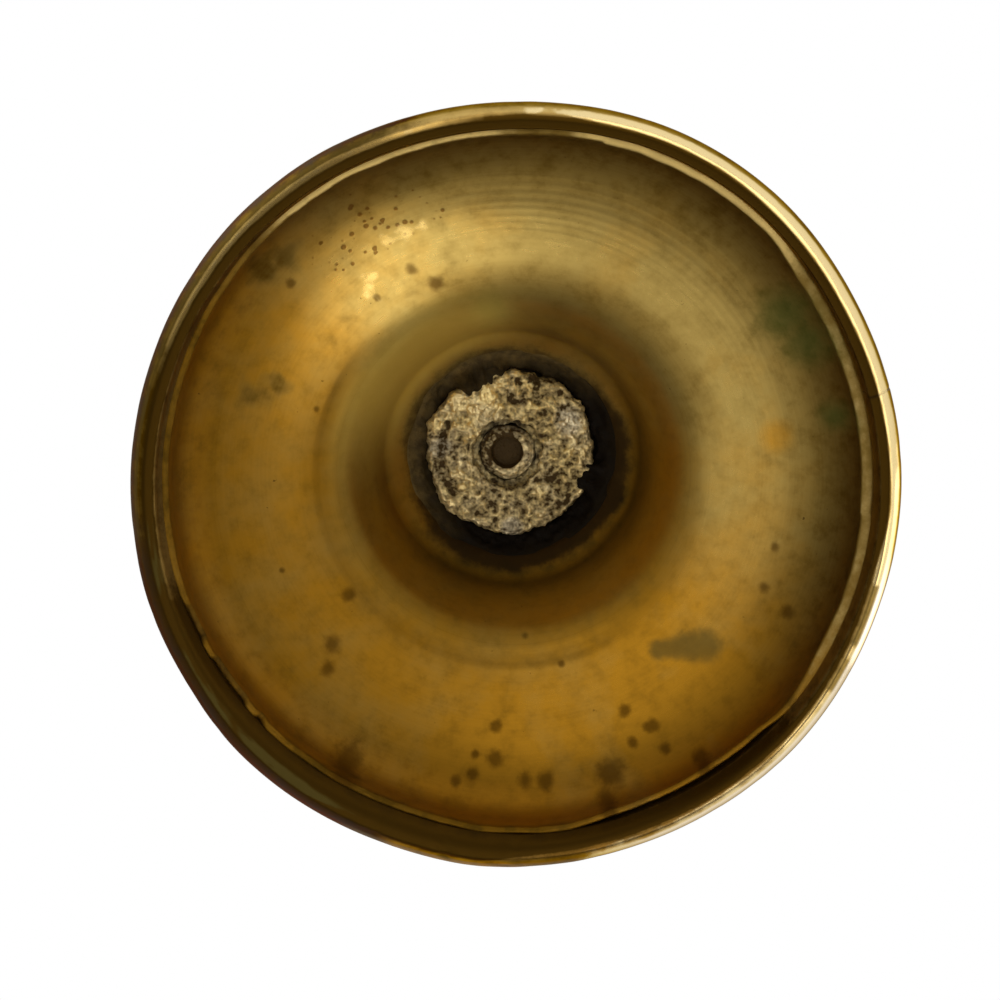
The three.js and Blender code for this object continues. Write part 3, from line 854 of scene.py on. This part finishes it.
def foot_plug():
    """Rough casting: a drum with a shallow recess in its lower face, its skin pushed in and out by grains, a
    groove inside its edge on one side, and an uneven edge."""
    recess_top = plug_face + recess_depth
    outline = evenly(rounded([(rod_bore, plug_top, 0.3), (rod_bore, recess_top, 0.3),
                              (recess_radius, recess_top, 0.6), (recess_radius, plug_face, 0.8),
                              (plug_radius, plug_face, 1.1), (plug_radius, plug_top, 0.4)]), 0.2)
    grid = turned(anticlockwise(outline), columns=480)
    bearing, radius, level = places_of(grid)
    low = falling(level, plug_face + 1.5, plug_face + 4)
    grain = rough_noise(grid, 1.05, 51, 2)
    lumps = rough_noise(grid, 5, 53, 2)
    groove = stretch(bearing, 150, 205, 15) * falling(np.abs(radius - 12.7), 0.3, 1.0)
    edge = 0.8 * smooth(radius, 11, plug_radius) * noise(grid * [1, 1, 0.2], 5, 55)
    edge = edge - 0.2 * smooth(radius, 12, plug_radius)
    grid = moved(grid, outward(grid), low * (0.42 * grain + 0.3 * lumps - 0.6 * groove))
    grid = moved(grid, from_axis(grid, radius), low * edge)
    holes = stretch(bearing, -100, -50, 20) * smooth(radius, 9, 11)
    holes = holes * smooth(rough_noise(grid, 2.2, 59, 2), 0.1, 0.5)
    grid[..., 0] -= recess_shift * low * falling(radius, recess_radius, recess_radius + 3)
    inside = falling(radius + 0.7 * noise(grid, 2, 57), recess_radius - 0.9, recess_radius + 0.7)
    grime = np.maximum(0.7 * inside * (0.65 + 0.35 * stretch(bearing, 180, 330, 30)),
                       smooth(level, plug_face + 1.0, plug_face + 2.6))
    grey = 0.8 * smooth(marked(grid, grey_skin), 0.3, 0.7)
    add_piece("foot_plug_cast", "foot_plug", "cast_brass", grid, plug_brass, grime=grime,
              crest=0.5 + 0.3 * grain + 0.3 * lumps - 0.45 * groove - 0.5 * holes,
              grey=grey - 0.6 * smooth(marked(grid, yellow_skin), 0.2, 0.7))


def pitch_packing():
    """Poured ring: its face creeps up the throat, is lumpy, and has two lumps that spread over the plug's
    edge."""
    bore = plug_radius + fit
    outline = evenly(rounded([(bore - 0.8, plug_top, 0.5), (bore - 0.8, packing_face, 0.8),
                              (neck_radius + 0.9, packing_face - 2.75, 0.3),
                              (neck_radius + 0.2, packing_face - 1.3, 0.3),
                              (neck_radius + 0.1, plug_top, 0.5)]), 0.3)
    grid = turned(anticlockwise(outline), columns=420)
    bearing, radius, level = places_of(grid)
    low = falling(level, packing_face + 0.5, packing_face + 3)
    lumps = rough_noise(grid, 3.2, 61, 4)
    inner = falling(radius, neck_radius - 1.4, neck_radius + 0.2)
    grid = moved(grid, outward(grid), 0.8 * low * inner * lumps)
    grid[..., 2] += 0.7 * (1 - inner) * low * np.maximum(noise(grid, 3.0, 63), -0.1)
    spill = np.maximum(stretch(bearing, -124, -98, 7), 0.8 * stretch(bearing, 10, 27, 6))
    reach = low * spill * (0.8 + 0.5 * lumps) * falling(radii(grid), bore + 0.4, neck_radius)
    grid = moved(grid, from_axis(grid, radii(grid)), -1.7 * reach)
    grid[..., 2] -= 2.4 * reach
    outer = smooth(radii(grid) + 0.8 * lumps, bore, neck_radius + 0.6)
    add_piece("pitch_poured", "pitch_packing", "pitch", grid, pitch_finish,
              dust=(0.06 + 0.94 * stretch(bearing, -195, -75, 50)) * (0.35 + 0.9 * outer))


def tie_rod():
    """Rod turned about the axis, with a domed head above, and a clinched hollow end below that is lumpy and a
    little off centre."""
    flange_top = plug_face + recess_depth - 0.1
    head_base = washer_top + 0.1
    middle = rod_hole_radius + rod_lip_half
    path = chain((0, rod_end + rod_hole_depth), (rod_hole_radius - 0.2, rod_end + rod_hole_depth),
                 arc((middle, rod_end + rod_lip_half), rod_lip_half, 180, 350, 16),
                 (rod_lip_radius - 0.3, flange_top - 0.5), (rod_lip_radius, flange_top),
                 (rod_radius, flange_top), (rod_radius, head_base), (rod_head_radius, head_base),
                 bezier((rod_head_radius, head_base), (rod_head_radius, rod_top - 0.5),
                        (rod_head_radius * 0.5, rod_top), (0, rod_top), 20))
    outline = evenly(path, 0.2)
    outline[[0, -1], 0] = 0
    grid = turned(outline, columns=200)
    bearing, radius, level = places_of(grid)
    lip = smooth(radius, rod_hole_radius - 0.1, rod_hole_radius + 0.5)
    lip = lip * falling(level, rod_end + 1.2, rod_end + 2.2)
    hollows = grains(grid, 1.0, 71) - 0.5
    grid[..., 2] += lip * (0.3 * hollows - 0.15 * noise(grid, 2.4, 73))
    grid = moved(grid, from_axis(grid, np.maximum(radius, 1)), 0.3 * lip * noise(grid * [1, 1, 0], 2.2, 75))
    grid[..., 0] -= recess_shift * falling(level, plug_face + 1.5, plug_face + 4)
    # Painted shade: the left of the lip, the hole and the hollows between the grains are painted darker.
    dark_side = stretch(bearing, 150, 280, 40)
    hole = falling(radius, rod_hole_radius - 0.1, rod_hole_radius + 0.3)
    outside = smooth(radius, middle + 0.5, rod_lip_radius)
    add_piece("tie_rod_clinched", "tie_rod", "cast_brass", grid, plug_brass, poles=True, grey=0.3,
              crest=0.55 - 0.6 * hollows - 0.5 * dark_side - 2 * hole,
              grime=np.where(level < rod_end + 4, 0.5 * outside, 0.3))


# Pieces of the stem and body

def turned_piece(node, kind, slot, outline, finish, columns, seed, wave=0.05):
    """A lathe-turned piece: its outline carried round the axis, with a slight waver, dirt in its hollows and
    rubbed proud edges, both read off how the outline bends."""
    outline = anticlockwise(outline)
    grid = turned(outline, columns)
    spacing = np.linalg.norm(outline[1] - outline[0])
    bend = bends(outline, max(int(round(1.2 / spacing)), 1))[:, None]
    grid = moved(grid, outward(grid), noise(grid, 20, seed) * wave)
    patches = rough_noise(grid, 12, seed + 5)
    add_piece(f"{node}_{kind}", node, slot, grid, finish,
              tone=np.clip(0.5 + 0.4 * noise(grid, 40, seed + 9), 0, 1),
              rub=np.clip(1.4 * bend - 0.25 + 0.3 * patches, 0, 0.8),
              grime=np.clip(-1.3 * bend - 0.1 + 0.15 * patches, 0, 0.9),
              dull=np.clip(0.28 + 0.3 * patches, 0, 0.7))


def collar_outline(node):
    """A collar with a half-round edge, from the rod's bore to its outer radius."""
    radius, base, top = span(node)
    half = (top - base) / 2
    edge = arc((radius - half, base + half), half, -90, 90)
    return evenly(chain((rod_bore, base), edge, (rod_bore, top), (rod_bore, base)), 0.45)


def knop_outline():
    """A flattened ball between two coves, each ending in a disc with softened edges: the lower half and its
    mirror image."""
    middle = (knop_base + knop_top) / 2
    cove = knop_base + knop_disc_height
    ball = cove + knop_neck_length
    swell = knop_fullness * (knop_radius - knop_neck_radius)
    soft = 0.5
    disc = knop_disc_radius - soft
    half = chain(
        (rod_bore, knop_base),
        arc((disc, knop_base + soft), soft, -90, 0, 6),
        arc((disc, cove - soft), soft, 0, 90, 6),
        bezier((disc, cove), (knop_neck_radius + 1.5, cove), (knop_neck_radius, cove + 3),
               (knop_neck_radius, ball)),
        bezier((knop_neck_radius, ball), (knop_neck_radius + swell, ball), (knop_radius, middle - swell),
               (knop_radius, middle)),
    )
    return evenly(chain(half, half[::-1] * [1, -1] + [0, 2 * middle], half[:1]), 0.5)


def spun_outline(*parts):
    """Closed outline of the body's sheet, one thickness out from an inner face that follows the parts."""
    return sheet_outline(evenly(chain(*parts), 0.8), body_sheet, 0.6)


def bowl_outline():
    """Spun bowl: a flat floor, a round side and a straight stretch for the lap."""
    floor, side = bowl_base + body_sheet, bowl_radius - body_sheet
    lap = seam_level - lap_length
    leave = bowl_floor_radius + bowl_fullness * (side - bowl_floor_radius)
    arrive = lap - bowl_fullness * (lap - floor)
    return spun_outline((rod_bore, floor),
                        bezier((bowl_floor_radius, floor), (leave, floor), (side, arrive), (side, lap)),
                        (side, seam_level - body_sheet / 2))


def shoulder_outline():
    """Spun shoulder: a skirt in the lap of the bowl, a round shoulder and a straight waist."""
    skirt, waist = shoulder_radius - body_sheet, waist_radius - body_sheet
    reach = shoulder_fullness * (waist_level - seam_level)
    return spun_outline((skirt, lap_bottom + body_sheet / 2),
                        bezier((skirt, seam_level), (skirt, seam_level + reach), (waist, waist_level - reach),
                               (waist, waist_level)),
                        (waist, waist_top - body_sheet / 2))


def trumpet_outline():
    """Spun trumpet: a skirt in the lap of the waist, then a flare to the lip."""
    outer = waist_radius - body_sheet - fit
    skirt = outer - body_sheet
    lip = np.array([trumpet_radius - body_sheet * math.sin(flare_angle), lip_top])
    along = np.array([math.cos(flare_angle), math.sin(flare_angle)])
    rise, reach = flare_fullness * (lip_top - waist_top), flare_fullness * (lip[0] - outer)
    end = lip - along * body_sheet / 2
    return spun_outline((skirt, waist_level + body_sheet / 2),
                        bezier((skirt, waist_top), (skirt, waist_top + rise), end - along * reach, end))


def band_outline(node, wall_radius):
    """Half-round moulding on a wall: half an ellipse, closed along the wall."""
    radius, base, top = span(node)
    bore = wall_radius + fit
    edge = arc((0, 0), 1, -90, 90, 40) * [radius - bore, (top - base) / 2] + [bore, (base + top) / 2]
    return evenly(chain(edge, edge[:1]), 0.3)


def stem_and_body():
    """The pieces above the foot: from the collar under the knop to the wire round the mouth, then the washer
    and its fillet inside."""
    seam = band_outline("seam_band", bowl_radius)
    waist = band_outline("waist_ring", waist_radius)
    middle = mouth_radius - mouth_wire_radius, mouth_top - mouth_wire_radius
    wire = arc(middle, mouth_wire_radius, 0, 360, 64)
    washer = rounded([(rod_bore, washer_base, 0.2), (washer_radius, washer_base, 0.2),
                      (washer_radius, washer_top, 0.5), (rod_bore, washer_top, 0.3)])
    bore = washer_radius + fit
    slope = bezier((seal_radius, seal_base), (bore + 1.2, seal_base + 0.4), (bore + 0.4, seal_base + 1.0),
                   (bore, seal_top), 16)
    fillet = chain((bore, seal_base), slope, (bore, seal_base))
    for piece in (
            ("foot_collar", "turned", "worn_brass", collar_outline("foot_collar"), turned_brass, 256, 101),
            ("stem_knop", "turned", "aged_brass", knop_outline(), turned_brass, 288, 111),
            ("body_collar", "turned", "worn_brass", collar_outline("body_collar"), turned_brass, 256, 121),
            ("body_bowl", "spun", "aged_brass", bowl_outline(), spun_brass, 320, 131, 0.12),
            ("body_shoulder", "spun", "aged_brass", shoulder_outline(), spun_brass, 320, 141, 0.12),
            ("seam_band", "half_round", "worn_brass", seam, turned_brass, 320, 151),
            ("trumpet_neck", "spun", "aged_brass", trumpet_outline(), spun_brass, 320, 161, 0.12),
            ("waist_ring", "half_round", "worn_brass", waist, turned_brass, 256, 171),
            ("mouth_ring", "wire", "worn_brass", evenly(wire, 0.35), turned_brass, 320, 181),
            ("floor_washer", "turned", "aged_brass", evenly(washer, 0.35), turned_brass, 160, 191),
            ("floor_solder", "fillet", "solder", evenly(fillet, 0.3), solder_finish, 160, 201, 0.15)):
        turned_piece(*piece)


# Stage: floor, lights and surroundings

def direction(off_axis, bearing):
    """Unit vectors pointing down from the foot, turned off the axis towards a bearing, both in degrees."""
    tilt, turn = np.radians(off_axis), np.radians(bearing)
    return np.stack([np.sin(tilt) * np.cos(turn), np.sin(tilt) * np.sin(turn), -np.cos(tilt)], -1)


def add_light(name, points, faces, finish):
    """A glowing surface, unseen by the camera."""
    made = mesh_object(name, points, faces, finish)
    made.visible_camera = False


def card(name, toward, width, height, strength):
    """A flat white panel that faces the origin from a direction."""
    toward = np.asarray(toward, float) / np.linalg.norm(toward)
    side = np.cross([0, 0, 1.0], toward)
    side /= np.linalg.norm(side)
    up = np.cross(toward, side)
    corners = [toward * panel_distance + side * width * a / 2 + up * height * b / 2
               for a, b in ((-1, -1), (1, -1), (1, 1), (-1, 1))]
    made, add = emptied(bpy.data.materials.new(name))
    glow = add("Emission", {"Color": linear("#FFFFFF"), "Strength": strength})
    add("OutputMaterial", {"Surface": glow})
    add_light(name, np.array(corners), [(0, 1, 2, 3)], made)


def seen_rays(add):
    """1 for rays from the camera and those that metal and glass send on, and 0 for the rest."""
    seen = add("LightPath", out="Is Camera Ray")
    rays = seen.node.outputs
    for ray in ("Is Glossy Ray", "Is Transmission Ray"):
        seen = add("Math.MAXIMUM", [seen, rays[ray]])
    return seen


def floor():
    """Pale floor, a disc at the level of the table.
    From below it isn't there, and close to the foot it lets through all rays but the camera's."""
    made, add = emptied(bpy.data.materials.new("floor_pale_matt"))
    place = add("TexCoord", out="Object")
    distance = add("VectorMath.LENGTH", [place], out="Value")
    far = add("MapRange", [distance, 0.25, 1.1], **SOFT)
    white = add("Math.MULTIPLY", [far, seen_rays(add)])
    matt = add("BsdfDiffuse", {"Color": linear("#E9E7E3")})
    glow = add("Emission", {"Color": linear("#FFFFFF"), "Strength": 1.0})
    top = add("MixShader", [white, matt, glow])
    near = add("Math.LESS_THAN", [distance, 0.085])
    other = add("Math.SUBTRACT", [1.0, add("LightPath", out="Is Camera Ray")])
    under = add("Math.MULTIPLY", [near, other])
    below = add("NewGeometry", out="Backfacing")
    gone = add("Math.MAXIMUM", [under, below])
    clear = add("BsdfTransparent")
    add("OutputMaterial", {"Surface": add("MixShader", [gone, top, clear])})
    edge = np.insert(arc((0, 0), floor_radius, 0, 355, 72), 2, table_level - 0.1, axis=1)
    disc = mesh_object("floor", edge, [tuple(range(len(edge)))], made)


def shell(name, finish, colour, radius, tilts, turns, by_level, patches=(), closed=False, **blend):
    """Part of a glowing sphere under the foot, at angles off the axis and bearings in degrees.
    Between two levels, as shares of its radius, it goes from one brightness to another. Each patch adds to
    that, and has its angle off the axis, its bearing, its brightness and its reach in degrees.
    A closed shell goes right round and has a flat bottom."""
    made, add = emptied(bpy.data.materials.new(finish))
    way = add("VectorMath.NORMALIZE", [add("TexCoord", out="Object")])
    level = add("SeparateXYZ", [way], out="Z")
    glow = add("MapRange", [level, *by_level], **blend)
    for off_axis, bearing, brightness, reach in patches:
        near = add("VectorMath.DOT_PRODUCT", [way, direction(off_axis, bearing).tolist()], out="Value")
        patch = add("MapRange", [near, math.cos(math.radians(reach)), 1.0, 0.0, brightness], **SOFT)
        glow = add("Math.ADD", [glow, patch])
    light = add("Emission", {"Color": linear(colour), "Strength": glow})
    add("OutputMaterial", {"Surface": light})
    tilt, turn = np.meshgrid(tilts, turns, indexing="ij")
    rows, columns = tilt.shape
    quads = grid_faces(rows, columns).reshape(rows, columns, 4)[:-1, :columns if closed else -1]
    bottom = [tuple(range(columns))] if closed else []
    points = radius * direction(tilt, turn).reshape(-1, 3)
    add_light(name, points, quads.reshape(-1, 4).tolist() + bottom, made)


def lights():
    """The room that the underside of the foot looks into, lighter straight below, with soft bright patches
    where a lamp and its wash on the walls would be. A low band of windows round one side, brightest at the
    floor, which the rim catches. Three tall soft panels above the floor."""
    lamp_and_wash = [(32, 74, 1.7, 13), (30.5, 64, 3.9, 6), (43, 70, 3.4, 6.5), (26, 135, 0.55, 26),
                     (12, -120, 0.3, 22)]
    shell("room_below", "room_below_walls", "#FFF8EC", room_radius, np.linspace(2, 89.5, 24),
          np.arange(0, 360, 10), (-1.0, 0.0, 0.50, 0.10), lamp_and_wash, closed=True)
    shell("windows_below", "window_light_low", "#FFF6E4", window_radius, np.linspace(62, 89, 6),
          np.linspace(-112, 52, 42), (-0.45, -0.05, 0.0, 2.2), **SOFT)
    card("panel_above_left", (-0.8, -0.7, 0.55), 700, 1000, 3.0)
    card("panel_above_right", (0.9, 0.35, 0.6), 600, 1000, 2.2)
    card("panel_above_back", (-0.3, 1.0, 0.7), 700, 800, 2.4)


def world():
    """White for what the camera, metal and glass see, and a softer fill for the rest."""
    made, add = emptied(bpy.data.worlds.new("studio_white"))
    strength = add("MapRange", {0: seen_rays(add), 3: 0.45, 4: 1.0})
    shader = add("Background", {"Color": (1, 1, 1, 1), "Strength": strength})
    add("OutputWorld", {"Surface": shader})
    bpy.context.scene.world = made


def camera():
    """Camera under the foot, looking up at it a little from the side that is the top of the picture."""
    place = np.array([-8.25, -81.32, -400.0])
    aim = np.array([-2.71, 0.29, 0.0])
    ahead = (aim - place) / np.linalg.norm(aim - place)
    right = np.cross([0, 1.0, 0], ahead)
    right /= np.linalg.norm(right)
    down = np.cross(ahead, right)
    made = bpy.data.objects.new("camera", bpy.data.cameras.new("camera"))
    turn = Matrix(np.stack([right, -down, -ahead], 1).tolist()).to_4x4()
    made.matrix_world = Matrix.Translation(Vector((place * MM).tolist())) @ turn
    made.data.sensor_width = 36
    made.data.lens = 88.69
    made.data.clip_start = 0.01
    bpy.context.scene.collection.objects.link(made)
    bpy.context.scene.camera = made


camera()
foot_ring()
foot_dome()
foot_throat()
foot_plug()
pitch_packing()
tie_rod()
stem_and_body()
floor()
lights()
world()
bpy.context.scene.view_settings.view_transform = "Standard"
